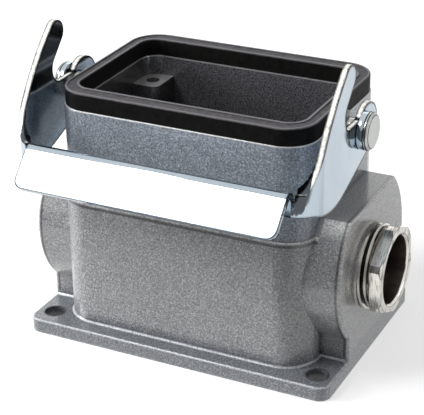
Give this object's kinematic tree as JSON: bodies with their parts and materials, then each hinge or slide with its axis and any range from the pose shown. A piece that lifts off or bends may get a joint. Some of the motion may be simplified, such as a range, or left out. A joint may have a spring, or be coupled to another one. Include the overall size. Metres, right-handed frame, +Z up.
{
  "type": "rectangular connector housing",
  "caption": "Surface-mounting housing of a heavy duty rectangular connector, with a rim seal, one locking lever and a side cable entry.",
  "frame": {"origin": "centre of the mounting face, where the flange lies on its panel", "axes": "+X along the long side towards the cable entry, -Y towards the lever's grip, +Z up out of the open rim"},
  "size_m": [0.0855, 0.0674, 0.0753],
  "materials": {
    "casting": "textured paint over die-cast metal",
    "seal": "satin",
    "lever": "zinc plated",
    "pin": "plated",
    "adaptor": "nickel plated"
  },
  "bodies": {
    "body": {"housing": "casting", "rim_seal": "seal", "pivot_pin_left": "pin", "pivot_pin_right": "pin", "pivot_washer_left": "lever", "pivot_washer_right": "lever", "cable_entry_adaptor": "adaptor"},
    "lever": {"locking_lever": "lever"}
  },
  "joints": [
    {"name": "lever_hinge", "type": "hinge", "parent": "body", "child": "lever", "pos_m": [0, -0.004, 0.0575], "axis": [-1, 0, 0], "range_deg": [-20, 58]}
  ]
}
